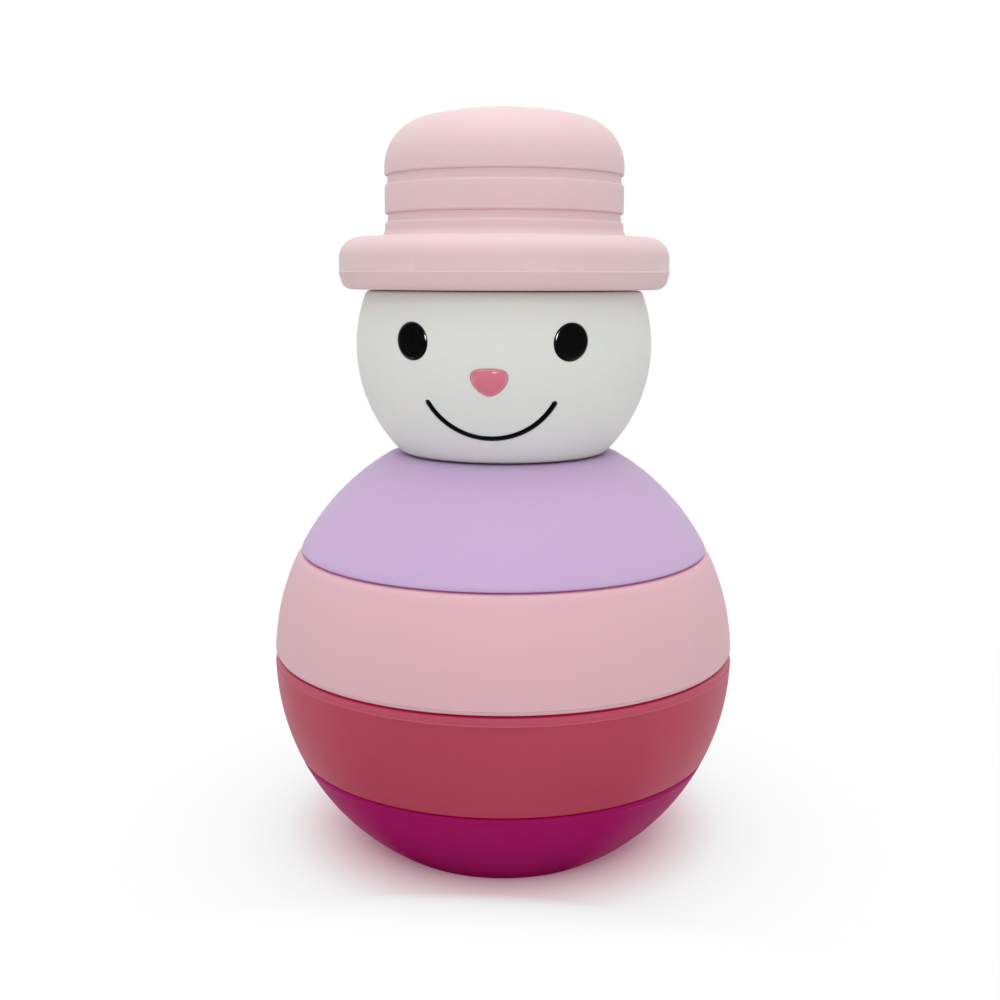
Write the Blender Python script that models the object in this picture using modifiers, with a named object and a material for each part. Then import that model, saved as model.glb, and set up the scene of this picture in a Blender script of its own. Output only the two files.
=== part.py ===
"""Snowman stacking toy: six soft silicone mouldings that plug together, and a face of coloured inlays.

Metres, +Z up. The origin is the middle of the flat foot and the face looks along -Y.
"""

import math

import bmesh
import bpy
from mathutils import Quaternion, Vector

for leftover in list(bpy.data.objects):
    bpy.data.objects.remove(leftover, do_unlink=True)

# The ball made by the four lower layers; the base and the dome take what the two rings leave of it
BODY_RADIUS = 0.045
FOOT_RADIUS = 0.0234
NECK_RADIUS = 0.02126
LOWER_RING_HEIGHT = 0.0194
UPPER_RING_HEIGHT = 0.01945
RING_SEAM_RISE = 0.00091

# Rounded edges of the layers
FOOT_ROUND = 0.0012
BASE_RIM_ROUND = 0.0006
LOWER_RING_TOP_ROUND = 0.0007
UPPER_RING_TOP_ROUND = 0.0014
LOWER_EDGE_ROUND = 0.0005
NECK_ROUND = 0.0012

# Plugs on top of each piece and the sockets that take them
SEAT_GAP = 0.0003
PLUG_CLEARANCE = 0.0003
PLUG_HEAD_ROOM = 0.0005
PLUG_EDGE_ROUND = 0.001
SOCKET_LEAD_IN = 0.0006
BODY_PLUG_HEIGHT = 0.006
BODY_SOCKET_WALL = 0.0078
BODY_PLUG_WALL = 0.007
BODY_DECK = 0.006
DOME_WALL = 0.008
DOME_DECK = 0.006
NECK_PLUG_HEIGHT = 0.0065
NECK_SOCKET_WALL = 0.00666
HEAD_DECK = 0.008
HAT_DECK = 0.009
WELL_ROUND = 0.002

# Head and its face
HEAD_RADIUS = 0.0282
HEAD_FOOT_RADIUS = 0.01996
HEAD_FOOT_ROUND = 0.001
HEAD_TOP_RISE = 0.01055
HEAD_TOP_ROUND = 0.001
INLAY_DEPTH = 0.0014
INLAY_GAP = 0.0003
POCKET_OVERRUN = 0.001
EYE_WIDTH = 0.0064
EYE_LENGTH = 0.007
EYE_LEAN = math.radians(45)
EYE_AZIMUTH = math.radians(29.7)
EYE_ELEVATION = math.radians(4.15)
EYE_PROUD = 0.0002
EYE_EDGE_ROUND = 0.0003
NOSE_WIDTH = 0.0066
NOSE_RISE = 0.0016
NOSE_DROP = 0.00335
NOSE_ELEVATION = math.radians(-8.1)
NOSE_PROUD = 0.0005
NOSE_EDGE_ROUND = 0.0005
SMILE_ARC_RADIUS = 0.0132
SMILE_ARC_DROP = 0.0018
SMILE_HALF_ANGLE = math.radians(58.0)
SMILE_WIDTH = 0.00112
SMILE_PROUD = 0.0003

# Hat
BRIM_RADIUS = 0.0311
BRIM_THICKNESS = 0.00945
BRIM_TOP_ROUND = 0.0036
BRIM_LOWER_ROUND = 0.0023
BRIM_DRAFT = 0.00015
BRIM_DRAFT_HEIGHT = 0.0007
CROWN_RADIUS = 0.0225
CROWN_FOOT_HEIGHT = 0.0028
CROWN_FOOT_FILLET = 0.0007
LOWER_GROOVE_HEIGHT = 0.0015
HAT_BAND_HEIGHT = 0.0053
UPPER_GROOVE_HEIGHT = 0.0017
GROOVE_DEPTH = 0.00065
CROWN_WALL = 0.0015
CROWN_SHOULDER = 0.0092
CROWN_DOME_RADIUS = 0.0675

# Facets
TURN_STEPS = 48
INLAY_STEPS = 28
BALL_STEPS = 6
ROUND_STEPS = 2
SMILE_STEPS = 24
CURVE_STEPS = 6

# Heights of the stack; the seam between the rings lies just above the ball's widest line
BALL_CENTRE = math.sqrt(BODY_RADIUS**2 - FOOT_RADIUS**2)
LOWER_RING_TOP = BALL_CENTRE + RING_SEAM_RISE
LOWER_RING_SEAT = LOWER_RING_TOP - LOWER_RING_HEIGHT
BASE_TOP = LOWER_RING_SEAT - SEAT_GAP
UPPER_RING_SEAT = LOWER_RING_TOP + SEAT_GAP
UPPER_RING_TOP = UPPER_RING_SEAT + UPPER_RING_HEIGHT
DOME_SEAT = UPPER_RING_TOP + SEAT_GAP
DOME_TOP = BALL_CENTRE + math.sqrt(BODY_RADIUS**2 - NECK_RADIUS**2)
HEAD_SEAT = DOME_TOP + SEAT_GAP
HEAD_CENTRE = HEAD_SEAT + math.sqrt(HEAD_RADIUS**2 - HEAD_FOOT_RADIUS**2)
HEAD_TOP = HEAD_CENTRE + HEAD_TOP_RISE
HAT_SEAT = HEAD_TOP + SEAT_GAP

parts = bpy.data.collections.new("snowman_stacking_toy")
cutters = bpy.data.collections.new("cutters")
bpy.context.scene.collection.children.link(parts)
bpy.context.scene.collection.children.link(cutters)


def ball_radius_at(height):
    """Radius of the ball at a height above the foot."""
    return math.sqrt(BODY_RADIUS**2 - (height - BALL_CENTRE) ** 2)


# The narrowest socketed rim of the ball sets the one plug size that all its layers share
BODY_SOCKET_RADIUS = min(ball_radius_at(seat) for seat in (LOWER_RING_SEAT, DOME_SEAT)) - BODY_SOCKET_WALL
BODY_PLUG_RADIUS = BODY_SOCKET_RADIUS - PLUG_CLEARANCE
BODY_SOCKET_DEPTH = BODY_PLUG_HEIGHT + PLUG_HEAD_ROOM
NECK_SOCKET_RADIUS = HEAD_FOOT_RADIUS - NECK_SOCKET_WALL
NECK_PLUG_RADIUS = NECK_SOCKET_RADIUS - PLUG_CLEARANCE


def silicone(name, colour, roughness):
    """A plain Principled material; the colour is given as display values from 0 to 255."""
    linear = [(channel / 255) ** 2.2 for channel in colour]
    material = bpy.data.materials.new(name)
    material.use_nodes = True
    shader = material.node_tree.nodes["Principled BSDF"]
    shader.inputs["Base Color"].default_value = (*linear, 1.0)
    shader.inputs["Roughness"].default_value = roughness
    shader.inputs["Metallic"].default_value = 0.0
    return material


def arc(centre, radius, start, end, steps):
    """Points on a circle in the turning plane, from one angle to another."""
    angles = [start + (end - start) * step / steps for step in range(steps + 1)]
    return [(centre[0] + radius * math.cos(a), centre[1] + radius * math.sin(a)) for a in angles]


def ball_side(radius, centre, top, top_round, bottom, bottom_round):
    """Outer side of a slice of a ball, from its top face round both edges to its underside."""
    upper_z = top - top_round
    upper = (math.sqrt((radius - top_round) ** 2 - (upper_z - centre) ** 2), upper_z)
    upper_angle = math.atan2(upper_z - centre, upper[0])
    lower_z = bottom + bottom_round
    lower = (math.sqrt((radius - bottom_round) ** 2 - (lower_z - centre) ** 2), lower_z)
    lower_angle = math.atan2(lower_z - centre, lower[0])
    side = arc(upper, top_round, math.pi / 2, upper_angle, ROUND_STEPS)
    side += arc((0.0, centre), radius, upper_angle, lower_angle, BALL_STEPS)[1:]
    side += arc(lower, bottom_round, lower_angle, -math.pi / 2, ROUND_STEPS)[1:]
    return side


def plug(radius, height, deck):
    """Top of a piece: the raised round plug that the next piece sits over, down to the deck round it."""
    shoulder = (radius - PLUG_EDGE_ROUND, deck + height - PLUG_EDGE_ROUND)
    rounded = arc(shoulder, PLUG_EDGE_ROUND, math.pi / 2, 0.0, ROUND_STEPS)
    return [(0.0, deck + height), *rounded, (radius, deck)]


def socket_mouth(radius, underside):
    """Chamfered mouth of a socket in a flat underside."""
    return [(radius + SOCKET_LEAD_IN, underside), (radius, underside + SOCKET_LEAD_IN)]


def well_roof(radius, roof):
    """Rounded upper end of a hollow, ending on the axis."""
    corner = (radius - WELL_ROUND, roof - WELL_ROUND)
    return [*arc(corner, WELL_ROUND, 0.0, math.pi / 2, ROUND_STEPS), (0.0, roof)]


def place(obj, material, parent, location):
    parts.objects.link(obj)
    obj.data.materials.append(material)
    obj.parent = parent
    obj.location = location


def turned(name, profile, steps):
    """An object turned about its own Z from a profile of (radius, height) points."""
    mesh = bpy.data.meshes.new(name)
    points = [(radius, 0.0, height) for radius, height in profile]
    mesh.from_pydata(points, [(i, i + 1) for i in range(len(points) - 1)], [])
    obj = bpy.data.objects.new(name, mesh)
    screw = obj.modifiers.new("turn", "SCREW")
    screw.axis = "Z"
    screw.angle = 2 * math.pi
    screw.steps = steps
    screw.render_steps = steps
    screw.use_merge_vertices = True
    screw.merge_threshold = 0.00001
    screw.use_smooth_shade = True
    return obj


def layer(name, profile, material, parent, seat):
    """One piece of the stack. The profile is in heights above the foot; the origin is the seat's middle."""
    below = parent.matrix_world.translation.z if parent else 0.0
    obj = turned(name, [(radius, height - seat) for radius, height in profile], TURN_STEPS)
    place(obj, material, parent, (0.0, 0.0, seat - below))
    bpy.context.view_layer.update()
    return obj


# Base: the solid lowest slice of the ball, flat underneath
base_profile = plug(BODY_PLUG_RADIUS, BODY_PLUG_HEIGHT, BASE_TOP)
base_profile += ball_side(BODY_RADIUS, BALL_CENTRE, BASE_TOP, BASE_RIM_ROUND, 0.0, FOOT_ROUND)
base_profile.append((0.0, 0.0))
base_bowl = layer("base_bowl", base_profile, silicone("magenta_silicone", (150, 28, 88), 0.55), None, 0.0)


def ring_profile(seat, top, top_round):
    """A slice of the ball with a plug on top, a socket below and a hollow core under the plug."""
    well_radius = BODY_PLUG_RADIUS - BODY_PLUG_WALL
    ledge = seat + BODY_SOCKET_DEPTH
    profile = plug(BODY_PLUG_RADIUS, BODY_PLUG_HEIGHT, top)
    profile += ball_side(BODY_RADIUS, BALL_CENTRE, top, top_round, seat, LOWER_EDGE_ROUND)
    profile += socket_mouth(BODY_SOCKET_RADIUS, seat)
    profile += [(BODY_SOCKET_RADIUS, ledge), (well_radius, ledge)]
    return profile + well_roof(well_radius, top + BODY_PLUG_HEIGHT - BODY_DECK)


# Rings: the two middle slices
lower_ring_profile = ring_profile(LOWER_RING_SEAT, LOWER_RING_TOP, LOWER_RING_TOP_ROUND)
rose = silicone("rose_silicone", (168, 69, 88), 0.55)
lower_ring = layer("lower_ring", lower_ring_profile, rose, base_bowl, LOWER_RING_SEAT)

upper_ring_profile = ring_profile(UPPER_RING_SEAT, UPPER_RING_TOP, UPPER_RING_TOP_ROUND)
pale_pink = silicone("pale_pink_silicone", (218, 174, 184), 0.55)
upper_ring = layer("upper_ring", upper_ring_profile, pale_pink, lower_ring, UPPER_RING_SEAT)

# Dome: the top slice, hollowed to an even wall, with the smaller neck plug
dome_ledge = DOME_SEAT + BODY_SOCKET_DEPTH
dome_roof = DOME_TOP - DOME_DECK
inner_radius = BODY_RADIUS - DOME_WALL
ledge_angle = math.asin((dome_ledge - BALL_CENTRE) / inner_radius)
roof_angle = math.asin((dome_roof - BALL_CENTRE) / inner_radius)
dome_profile = plug(NECK_PLUG_RADIUS, NECK_PLUG_HEIGHT, DOME_TOP)
dome_profile += ball_side(BODY_RADIUS, BALL_CENTRE, DOME_TOP, NECK_ROUND, DOME_SEAT, LOWER_EDGE_ROUND)
dome_profile += socket_mouth(BODY_SOCKET_RADIUS, DOME_SEAT)
dome_profile.append((BODY_SOCKET_RADIUS, dome_ledge))
dome_profile += arc((0.0, BALL_CENTRE), inner_radius, ledge_angle, roof_angle, ROUND_STEPS)
dome_profile.append((0.0, dome_roof))
lavender = silicone("lavender_silicone", (203, 175, 213), 0.55)
upper_dome = layer("upper_dome", dome_profile, lavender, upper_ring, DOME_SEAT)

# Head: a ball cut flat at the neck and under the hat
head_profile = plug(NECK_PLUG_RADIUS, NECK_PLUG_HEIGHT, HEAD_TOP)
head_profile += ball_side(HEAD_RADIUS, HEAD_CENTRE, HEAD_TOP, HEAD_TOP_ROUND, HEAD_SEAT, HEAD_FOOT_ROUND)
head_profile += socket_mouth(NECK_SOCKET_RADIUS, HEAD_SEAT)
head_profile += well_roof(NECK_SOCKET_RADIUS, HEAD_TOP - HEAD_DECK)
head = layer("head", head_profile, silicone("white_silicone", (226, 225, 222), 0.5), upper_dome, HEAD_SEAT)
head_middle = Vector((0.0, 0.0, HEAD_CENTRE - HEAD_SEAT))

black = silicone("black_inlay_silicone", (20, 20, 22), 0.25)


def outward(azimuth, elevation):
    """Direction from the head's centre; azimuth 0 is the middle of the face."""
    flat = math.cos(elevation)
    return Vector((math.sin(azimuth) * flat, -math.cos(azimuth) * flat, math.sin(elevation)))


def cut_pocket(name, cutter, location, turn):
    """Cuts a recess in the head with a hidden cutter that is placed like the inlay it takes."""
    cutters.objects.link(cutter)
    cutter.parent = head
    cutter.location = location
    cutter.rotation_euler = turn
    cutter.hide_render = True
    cutter.display_type = "WIRE"
    pocket = head.modifiers.new(name, "BOOLEAN")
    pocket.operation = "DIFFERENCE"
    pocket.solver = "EXACT"
    pocket.object = cutter


def meshed(curve, name):
    """A curve's solid as a mesh object with its caps welded on."""
    guide = bpy.data.objects.new(name + "_curve", curve)
    cutters.objects.link(guide)
    graph = bpy.context.evaluated_depsgraph_get()
    mesh = bpy.data.meshes.new_from_object(guide.evaluated_get(graph))
    mesh.name = name
    welded = bmesh.new()
    welded.from_mesh(mesh)
    bmesh.ops.remove_doubles(welded, verts=welded.verts, dist=0.000001)
    bmesh.ops.recalc_face_normals(welded, faces=welded.faces)
    welded.to_mesh(mesh)
    welded.free()
    mesh.shade_smooth()
    mesh.set_sharp_from_angle(angle=math.radians(40))
    bpy.data.objects.remove(guide, do_unlink=True)
    return bpy.data.objects.new(name, mesh)


def eye_profile(radius, back):
    """A button whose front follows the head's curve, as heights above the head's centre."""
    front = HEAD_RADIUS + EYE_PROUD
    round_radius = radius - EYE_EDGE_ROUND
    round_z = math.sqrt((front - EYE_EDGE_ROUND) ** 2 - round_radius**2)
    round_angle = math.atan2(round_z, round_radius)
    profile = arc((0.0, 0.0), front, math.pi / 2, round_angle, ROUND_STEPS)
    profile += arc((round_radius, round_z), EYE_EDGE_ROUND, round_angle, 0.0, ROUND_STEPS)[1:]
    return [*profile, (radius, back), (0.0, back)]


# Eyes: black oval buttons set in flat-bottomed pockets, their tops leaning outwards
inlay_back = HEAD_RADIUS - INLAY_DEPTH
pocket_back = inlay_back - INLAY_GAP
pocket_mouth = HEAD_RADIUS + POCKET_OVERRUN
pocket_radius = EYE_WIDTH / 2 + INLAY_GAP
eye_pocket = [(0.0, pocket_mouth), (pocket_radius, pocket_mouth)]
eye_pocket += [(pocket_radius, pocket_back), (0.0, pocket_back)]
for eye_name, side in (("left_eye", -1), ("right_eye", 1)):
    facing = outward(side * EYE_AZIMUTH, EYE_ELEVATION).to_track_quat("Z", "Y")
    eye_turn = (facing @ Quaternion((0, 0, 1), -side * EYE_LEAN)).to_euler()
    eye = turned(eye_name, eye_profile(EYE_WIDTH / 2, inlay_back), INLAY_STEPS)
    place(eye, black.copy(), head, head_middle)
    eye.rotation_euler = eye_turn
    eye.scale.y = EYE_LENGTH / EYE_WIDTH
    eye_cutter = turned(eye_name + "_cutter", eye_pocket, INLAY_STEPS)
    eye_cutter.scale.y = eye.scale.y
    cut_pocket(eye_name + "_pocket", eye_cutter, head_middle, eye_turn)


def nose_curve(grow, half_thickness, edge_round):
    """Outline of the nose, a soft triangle with its point down, grown by a margin and thickened both ways."""
    half_width = NOSE_WIDTH / 2 + grow - edge_round
    rise = NOSE_RISE + grow - edge_round
    drop = NOSE_DROP + grow - edge_round
    cheek_up = 0.75 * rise
    cheek_down = 0.45 * drop
    curve = bpy.data.curves.new("nose_outline", "CURVE")
    curve.dimensions = "2D"
    curve.fill_mode = "BOTH"
    curve.resolution_u = CURVE_STEPS
    curve.extrude = half_thickness - edge_round
    curve.bevel_depth = edge_round
    curve.bevel_resolution = 2
    outline = curve.splines.new("BEZIER")
    outline.use_cyclic_u = True
    outline.bezier_points.add(3)
    anchors = (
        ((0, rise), (0.7 * half_width, rise), (-0.7 * half_width, rise)),
        ((-half_width, 0), (-half_width, cheek_up), (-half_width, -cheek_down)),
        ((0, -drop), (-0.4 * half_width, -drop), (0.4 * half_width, -drop)),
        ((half_width, 0), (half_width, -cheek_down), (half_width, cheek_up)),
    )
    for point, (anchor, before, after) in zip(outline.bezier_points, anchors):
        point.co = (*anchor, 0)
        point.handle_left_type = "FREE"
        point.handle_right_type = "FREE"
        point.handle_left = (*before, 0)
        point.handle_right = (*after, 0)
    return curve


# Nose: a pink soft triangle with rounded edges
nose_front = HEAD_RADIUS + NOSE_PROUD
nose_out = outward(0.0, NOSE_ELEVATION)
nose_turn = nose_out.to_track_quat("Z", "Y").to_euler()
nose_middle = head_middle + nose_out * (nose_front + inlay_back) / 2
nose = meshed(nose_curve(0.0, (nose_front - inlay_back) / 2, NOSE_EDGE_ROUND), "nose")
place(nose, silicone("pink_inlay_silicone", (199, 114, 130), 0.3), head, nose_middle)
nose.rotation_euler = nose_turn
nose_pocket_middle = head_middle + nose_out * (pocket_mouth + pocket_back) / 2
nose_cutter = meshed(nose_curve(INLAY_GAP, (pocket_mouth - pocket_back) / 2, 0.0), "nose_cutter")
cut_pocket("nose_pocket", nose_cutter, nose_pocket_middle, nose_turn)


def smile_curve(bead_radius):
    """A bead along an arc that is drawn on the front of the face and laid on the head's curve."""
    depth = HEAD_RADIUS + SMILE_PROUD - SMILE_WIDTH / 2
    end_turn = bead_radius / SMILE_ARC_RADIUS
    tip_angles = [math.radians(degrees) for degrees in (35, 65, 85)]
    tips = [(SMILE_HALF_ANGLE + end_turn * math.sin(a), math.cos(a)) for a in tip_angles]
    stops = [(-angle, width) for angle, width in reversed(tips)]
    stops += [(SMILE_HALF_ANGLE * (2 * step / SMILE_STEPS - 1), 1.0) for step in range(SMILE_STEPS + 1)]
    stops += tips
    curve = bpy.data.curves.new("smile_line", "CURVE")
    curve.dimensions = "3D"
    curve.bevel_depth = bead_radius
    curve.bevel_resolution = 2
    curve.use_fill_caps = True
    line = curve.splines.new("POLY")
    line.points.add(len(stops) - 1)
    for point, (angle, width) in zip(line.points, stops):
        across = SMILE_ARC_RADIUS * math.sin(angle)
        up = -SMILE_ARC_DROP - SMILE_ARC_RADIUS * math.cos(angle)
        point.co = (across, -math.sqrt(depth**2 - across**2 - up**2), up, 1.0)
        point.radius = width
    return curve


# Smile: a thin black bead lying in a round groove
smile = meshed(smile_curve(SMILE_WIDTH / 2), "smile")
place(smile, black.copy(), head, head_middle)
smile_cutter = meshed(smile_curve(SMILE_WIDTH / 2 + INLAY_GAP), "smile_cutter")
cut_pocket("smile_groove", smile_cutter, head_middle, (0.0, 0.0, 0.0))


def groove(radius, bottom, height):
    """A shallow round groove in an upright wall, from its upper edge to its lower one."""
    half = height / 2
    groove_radius = (half**2 + GROOVE_DEPTH**2) / (2 * GROOVE_DEPTH)
    half_angle = math.asin(half / groove_radius)
    middle = (radius + groove_radius - GROOVE_DEPTH, bottom + half)
    return arc(middle, groove_radius, math.pi - half_angle, math.pi + half_angle, ROUND_STEPS + 1)


# Hat: a bowler with a thick brim, a plain band between two grooves and a domed crown
brim_top = HAT_SEAT + BRIM_THICKNESS
lower_groove = brim_top + CROWN_FOOT_HEIGHT
upper_groove = lower_groove + LOWER_GROOVE_HEIGHT + HAT_BAND_HEIGHT
shoulder_z = upper_groove + UPPER_GROOVE_HEIGHT + CROWN_WALL
shoulder_r = CROWN_RADIUS - CROWN_SHOULDER
dome_drop = math.sqrt((CROWN_DOME_RADIUS - CROWN_SHOULDER) ** 2 - shoulder_r**2)
crown_dome_z = shoulder_z - dome_drop
hat_top = crown_dome_z + CROWN_DOME_RADIUS
shoulder_angle = math.atan2(dome_drop, shoulder_r)
lower_rim = (BRIM_RADIUS - BRIM_DRAFT - BRIM_LOWER_ROUND, HAT_SEAT + BRIM_LOWER_ROUND)
hat_profile = arc((0.0, crown_dome_z), CROWN_DOME_RADIUS, math.pi / 2, shoulder_angle, ROUND_STEPS)
hat_profile += arc((shoulder_r, shoulder_z), CROWN_SHOULDER, shoulder_angle, 0.0, 3 * ROUND_STEPS)[1:]
hat_profile += groove(CROWN_RADIUS, upper_groove, UPPER_GROOVE_HEIGHT)
hat_profile += groove(CROWN_RADIUS, lower_groove, LOWER_GROOVE_HEIGHT)
fillet = (CROWN_RADIUS + CROWN_FOOT_FILLET, brim_top + CROWN_FOOT_FILLET)
hat_profile += arc(fillet, CROWN_FOOT_FILLET, math.pi, 1.5 * math.pi, ROUND_STEPS)
upper_rim = (BRIM_RADIUS - BRIM_TOP_ROUND, brim_top - BRIM_TOP_ROUND)
hat_profile += arc(upper_rim, BRIM_TOP_ROUND, math.pi / 2, 0.0, ROUND_STEPS + 1)
hat_profile.append((BRIM_RADIUS, lower_rim[1] + BRIM_DRAFT_HEIGHT))
hat_profile += arc(lower_rim, BRIM_LOWER_ROUND, 0.0, -math.pi / 2, ROUND_STEPS)
hat_profile += socket_mouth(NECK_SOCKET_RADIUS, HAT_SEAT)
hat_profile += well_roof(NECK_SOCKET_RADIUS, hat_top - HAT_DECK)
layer("hat", hat_profile, silicone("hat_pink_silicone", (222, 190, 193), 0.55), head, HAT_SEAT)
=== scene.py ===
"""Looks of the snowman stacking toy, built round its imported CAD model.

Metres, +Z up. The face looks along -Y, as in the CAD model.
"""

import math

import bmesh
import bpy
from mathutils import Matrix, Quaternion, Vector


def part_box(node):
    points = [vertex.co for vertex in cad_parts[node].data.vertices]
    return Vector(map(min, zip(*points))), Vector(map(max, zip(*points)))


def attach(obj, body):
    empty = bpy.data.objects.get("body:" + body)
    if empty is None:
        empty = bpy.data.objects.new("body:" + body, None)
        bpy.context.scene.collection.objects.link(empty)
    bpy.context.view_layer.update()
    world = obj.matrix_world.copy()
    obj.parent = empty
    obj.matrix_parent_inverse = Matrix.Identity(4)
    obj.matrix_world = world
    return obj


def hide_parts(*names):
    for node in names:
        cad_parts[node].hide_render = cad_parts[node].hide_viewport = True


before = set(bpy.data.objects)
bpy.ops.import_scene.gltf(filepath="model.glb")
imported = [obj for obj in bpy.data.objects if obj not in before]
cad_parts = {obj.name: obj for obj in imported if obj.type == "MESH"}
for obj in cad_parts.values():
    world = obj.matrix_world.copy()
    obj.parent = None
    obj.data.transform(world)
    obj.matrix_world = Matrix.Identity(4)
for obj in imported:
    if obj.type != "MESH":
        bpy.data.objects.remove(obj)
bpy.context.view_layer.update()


# Base: the lowest slice of the ball, moulded solid in matte magenta silicone with a fine, dull skin. It
# stands on its flat foot, and the round plug on its top, moulded in one with it, holds the ring above.
# A faint ledge runs round under the rim where the two halves of the mould met.
FLASH_HEIGHT = 0.00008
BALL_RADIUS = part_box("lower_ring")[1].x - FLASH_HEIGHT
FOOT_RADIUS = 0.0234
FOOT_ROUND = 0.0012
BASE_RIM_ROUND = 0.0006
BASE_PARTING_DROP = 0.0011
BALL_CENTRE = math.sqrt(BALL_RADIUS**2 - FOOT_RADIUS**2)
CAD_SEAT_GAP = 0.0003
SEAT_GAP = 0.00012
BASE_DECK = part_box("lower_ring")[0].z - CAD_SEAT_GAP
BODY_PLUG_RADIUS = 0.0317
PLUG_EDGE_ROUND = 0.001
PARTING_STEP = 0.00006
LEDGE_HEIGHT = 0.0002
FLASH_WAVES = ((7, 0.25, 0.4), (17, 0.15, 1.9), (31, 0.1, 0.0))
SHARP_TURN = math.radians(32)
TURN_STEPS = 192
BALL_STEPS = 20
ROUND_STEPS = 7


def linear(red, green, blue):
    """A colour given as display values from 0 to 255, as the shader's linear colour."""
    channels = [value / 255 for value in (red, green, blue)]
    return (*[c / 12.92 if c <= 0.04045 else ((c + 0.055) / 1.055) ** 2.4 for c in channels], 1.0)


def arc(centre, radius, start, end, steps):
    """Points on a circle in the turning plane, from one angle to another."""
    angles = [start + (end - start) * step / steps for step in range(steps + 1)]
    return [(centre[0] + radius * math.cos(a), centre[1] + radius * math.sin(a)) for a in angles]


def ball_side(radius, centre, top, top_round, bottom, bottom_round, parting=None, step=0.0, lean=None):
    """Outer side of a slice of a ball, from its top face round both edges to its underside.

    At the parting height the lower skin ends in a line of flash. By a step, the skin above the line
    lies further in, or below it if the step is negative. With a lean, the band above the line is
    a plain cone, not a part of the ball.
    """
    above = radius - max(step, 0.0)
    below = radius + min(step, 0.0)
    lower_z = bottom + bottom_round
    lower = (math.sqrt((below - bottom_round) ** 2 - (lower_z - centre) ** 2), lower_z)
    lower_angle = math.atan2(lower_z - centre, lower[0])
    upper_z = top - top_round
    upper_x = math.sqrt((above - top_round) ** 2 - (upper_z - centre) ** 2)
    upper_angle = math.atan2(upper_z - centre, upper_x)
    line_angle = math.asin((parting - centre) / radius) if parting else 0.0
    ledge = LEDGE_HEIGHT / radius if parting else 0.0
    if lean:
        start = above * math.cos(line_angle)
        reach = upper_z + top_round * math.sin(lean) - parting
        upper_x = start - reach * math.tan(lean) - top_round * math.cos(lean)
        side = arc((upper_x, upper_z), top_round, math.pi / 2, lean, ROUND_STEPS)
        side.append((start - LEDGE_HEIGHT * math.tan(lean), parting + LEDGE_HEIGHT))
    else:
        side = arc((upper_x, upper_z), top_round, math.pi / 2, upper_angle, ROUND_STEPS)
        side += arc((0.0, centre), above, upper_angle, line_angle + ledge, BALL_STEPS)[1:]
    if parting:
        flash = (below * math.cos(line_angle), centre + below * math.sin(line_angle))
        side.append((*flash, FLASH_HEIGHT))
    side += arc((0.0, centre), below, line_angle - ledge / 2, lower_angle, BALL_STEPS)[0 if parting else 1:]
    side += arc(lower, bottom_round, lower_angle, -math.pi / 2, ROUND_STEPS)[1:]
    return side


def plug(radius, top, deck):
    """Top of a piece: the raised round plug that the next piece sits over, down to the deck round it."""
    corner = (radius - PLUG_EDGE_ROUND, top - PLUG_EDGE_ROUND)
    rounded = arc(corner, PLUG_EDGE_ROUND, math.pi / 2, 0.0, ROUND_STEPS)
    return [(0.0, top), (radius / 2, top), *rounded, (radius, deck)]


def flash_wave(angle):
    """How far trimmed flash stands up round a piece, from 0 to 1, as an uneven hand trim leaves it.

    Each wave has a count round the piece, a share and a phase.
    """
    return 0.5 + sum(share * math.sin(count * angle + phase) for count, share, phase in FLASH_WAVES)


def turned(name, profile, steps):
    """A closed mesh object turned about Z from (radius, height) points that begin and end on the axis.

    A third number in a point is the height of the flash that stands out there.
    """
    shape = bmesh.new()
    angles = [2 * math.pi * step / steps for step in range(steps)]
    rings = []
    for radius, height, *flash in profile:
        if radius == 0.0:
            rings.append([shape.verts.new((0.0, 0.0, height))] * steps)
            continue
        reach = [radius + sum(flash) * flash_wave(a) for a in angles]
        ring = [(r * math.cos(a), r * math.sin(a), height) for r, a in zip(reach, angles)]
        rings.append([shape.verts.new(point) for point in ring])
    for upper, lower in zip(rings, rings[1:]):
        for here in range(steps):
            after = (here + 1) % steps
            corners = dict.fromkeys((upper[here], lower[here], lower[after], upper[after]))
            shape.faces.new(corners)
    return finished(name, shape)


def finished(name, shape):
    """The object of a closed mesh, smooth but for its sharp corners."""
    bmesh.ops.recalc_face_normals(shape, faces=shape.faces)
    mesh = bpy.data.meshes.new(name)
    shape.to_mesh(mesh)
    shape.free()
    mesh.shade_smooth()
    mesh.set_sharp_from_angle(angle=SHARP_TURN)
    obj = bpy.data.objects.new(name, mesh)
    bpy.context.scene.collection.objects.link(obj)
    return obj


def new_group(name, inputs, outputs):
    """An empty shader group with its own named sockets, and its input and output nodes."""
    group = bpy.data.node_groups.new(name, "ShaderNodeTree")
    for socket, kind in inputs:
        group.interface.new_socket(name=socket, in_out="INPUT", socket_type=kind)
    for socket, kind in outputs:
        group.interface.new_socket(name=socket, in_out="OUTPUT", socket_type=kind)
    return group, group.nodes.new("NodeGroupInput"), group.nodes.new("NodeGroupOutput")


COLOUR = "NodeSocketColor"
VALUE = "NodeSocketFloat"
skin_inputs = [("Colour", COLOUR), ("Mottle", VALUE), ("Lint", VALUE), ("Roughness", VALUE), ("Grain", VALUE)]
skin_inputs += [("Underside", VALUE), ("Deck", VALUE)]
skin_outputs = [("Colour", COLOUR), ("Roughness", VALUE), ("Normal", "NodeSocketVector")]
silicone_skin, skin_in, skin_out = new_group("silicone_skin", skin_inputs, skin_outputs)


def add_node(tree, kind, **inputs):
    """A node with its sockets set: a plain value is written on the socket, another socket is linked to it."""
    node = tree.nodes.new(kind)
    for name, value in inputs.items():
        socket = node.inputs[name.replace("_", " ")]
        if isinstance(value, bpy.types.NodeSocket):
            tree.links.new(value, socket)
        else:
            socket.default_value = value
    return node


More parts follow.
